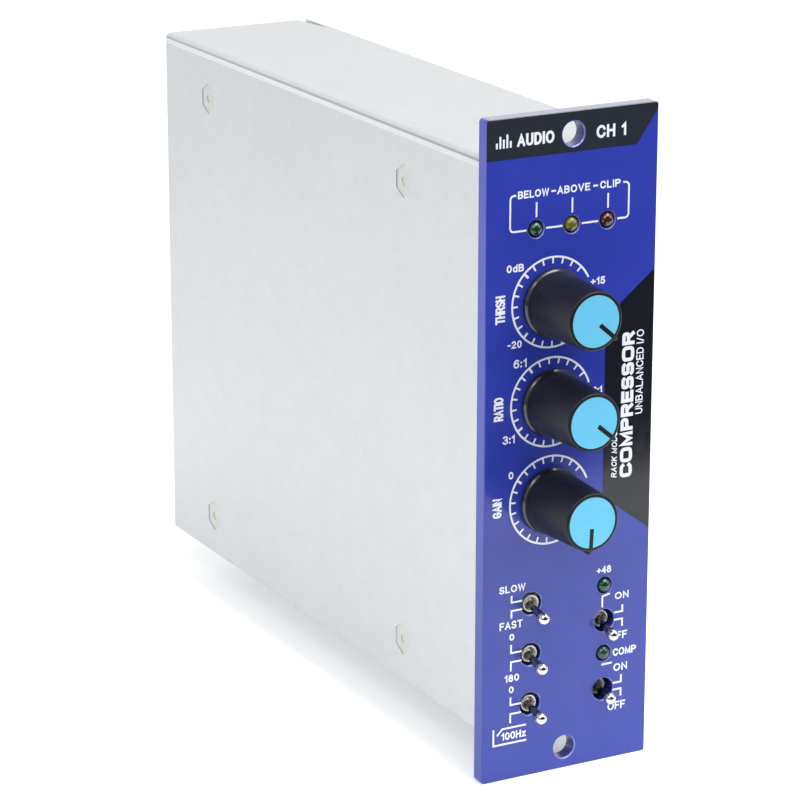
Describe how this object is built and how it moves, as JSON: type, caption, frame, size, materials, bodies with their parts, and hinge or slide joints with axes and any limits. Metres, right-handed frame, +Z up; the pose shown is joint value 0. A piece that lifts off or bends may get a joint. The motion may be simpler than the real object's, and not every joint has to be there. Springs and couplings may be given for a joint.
{
  "type": "rack compressor module",
  "caption": "Plug-in audio compressor module: tall narrow blue front panel with rotary knobs, toggle switches and lamps on a folded steel case with a card-edge tongue.",
  "frame": {"origin": "centre of the two rack screw holes, on the front panel's rear face", "axes": "front panel faces -Y, the case runs back along +Y, +X is the right side seen from the front, +Z is up"},
  "size_m": [0.0378, 0.1694, 0.1334],
  "materials": {
    "panel_paint": "gloss deep blue enamel with a black printed header and stripe and white printed scales",
    "galvanised_steel": "zinc-coated sheet, satin with a faint grain",
    "zinc_hardware": "bright zinc plate",
    "board_laminate": "solder resist over glass laminate, semi-gloss",
    "gold_plate": "gold flash, polished",
    "tinned_pins": "tinned",
    "black_plastic": "moulded, matt",
    "capacitor_sleeve": "shrink sleeve, gloss",
    "film_capacitor": "dipped, gloss",
    "resistor_body": "lacquered",
    "pot_housing": "moulded housing with a metal bushing",
    "shaft_metal": "turned",
    "knob_plastic": "satin black moulding with fine ribs",
    "cap_plastic": "light blue, satin gloss",
    "switch_plastic": "moulded",
    "chrome_plate": "polished",
    "green_lens": "tinted clear epoxy, unlit",
    "amber_lens": "tinted clear epoxy, unlit",
    "red_lens": "tinted clear epoxy, unlit"
  },
  "bodies": {
    "module": {"front_panel": "panel_paint", "chassis_tray": "galvanised_steel", "right_cover": "galvanised_steel", "cover_screws": "zinc_hardware", "panel_studs": "zinc_hardware", "panel_nuts": "zinc_hardware", "board_standoffs": "zinc_hardware", "board_screws": "zinc_hardware", "main_board": "board_laminate", "edge_contacts": "gold_plate", "control_board": "board_laminate", "board_connector": "black_plastic", "threshold_pot": "pot_housing", "ratio_pot": "pot_housing", "gain_pot": "pot_housing", "pot_washers": "zinc_hardware", "pot_nuts": "zinc_hardware", "pot_terminals": "tinned_pins", "attack_switch": "switch_plastic", "polarity_switch": "switch_plastic", "filter_switch": "switch_plastic", "phantom_switch": "switch_plastic", "bypass_switch": "switch_plastic", "attack_bushing": "chrome_plate", "polarity_bushing": "chrome_plate", "filter_bushing": "chrome_plate", "phantom_bushing": "chrome_plate", "bypass_bushing": "chrome_plate", "switch_terminals": "tinned_pins", "below_lamp": "green_lens", "above_lamp": "amber_lens", "clip_lamp": "red_lens", "phantom_lamp": "green_lens", "active_lamp": "green_lens", "lamp_spacers": "black_plastic", "lamp_leads": "tinned_pins", "electrolytic_capacitors": "capacitor_sleeve", "film_capacitors": "film_capacitor", "amplifier_chips": "black_plastic", "gain_cell_chip": "black_plastic", "voltage_regulators": "black_plastic", "resistors": "resistor_body", "transistors": "black_plastic"},
    "threshold_control": {"threshold_knob": "knob_plastic", "threshold_cap": "cap_plastic", "threshold_shaft": "shaft_metal"},
    "ratio_control": {"ratio_knob": "knob_plastic", "ratio_cap": "cap_plastic", "ratio_shaft": "shaft_metal"},
    "gain_control": {"gain_knob": "knob_plastic", "gain_cap": "cap_plastic", "gain_shaft": "shaft_metal"},
    "attack_toggle": {"attack_lever": "chrome_plate"},
    "polarity_toggle": {"polarity_lever": "chrome_plate"},
    "filter_toggle": {"filter_lever": "chrome_plate"},
    "phantom_toggle": {"phantom_lever": "chrome_plate"},
    "bypass_toggle": {"bypass_lever": "chrome_plate"}
  },
  "joints": [
    {"name": "threshold_turn", "type": "hinge", "parent": "module", "child": "threshold_control", "pos_m": [-0.0042, -0.003, 0.0299], "axis": [0, 1, 0], "range_deg": [0, 300]},
    {"name": "ratio_turn", "type": "hinge", "parent": "module", "child": "ratio_control", "pos_m": [-0.0042, -0.003, 0.01005], "axis": [0, 1, 0], "range_deg": [0, 300]},
    {"name": "gain_turn", "type": "hinge", "parent": "module", "child": "gain_control", "pos_m": [-0.0042, -0.003, -0.0098], "axis": [0, 1, 0], "range_deg": [-50, 250]},
    {"name": "attack_flip", "type": "hinge", "parent": "module", "child": "attack_toggle", "pos_m": [-0.008, -0.0012, -0.0306], "axis": [-1, 0, 0], "range_deg": [0, 27]},
    {"name": "polarity_flip", "type": "hinge", "parent": "module", "child": "polarity_toggle", "pos_m": [-0.008, -0.0008, -0.0412], "axis": [-1, 0, 0], "range_deg": [0, 27]},
    {"name": "filter_flip", "type": "hinge", "parent": "module", "child": "filter_toggle", "pos_m": [-0.008, -0.0007, -0.0516], "axis": [-1, 0, 0], "range_deg": [0, 27]},
    {"name": "phantom_flip", "type": "hinge", "parent": "module", "child": "phantom_toggle", "pos_m": [0.00885, 0.0002, -0.0371], "axis": [-1, 0, 0], "range_deg": [0, 27]},
    {"name": "bypass_flip", "type": "hinge", "parent": "module", "child": "bypass_toggle", "pos_m": [0.00885, 0.001, -0.0516], "axis": [-1, 0, 0], "range_deg": [0, 27]}
  ]
}
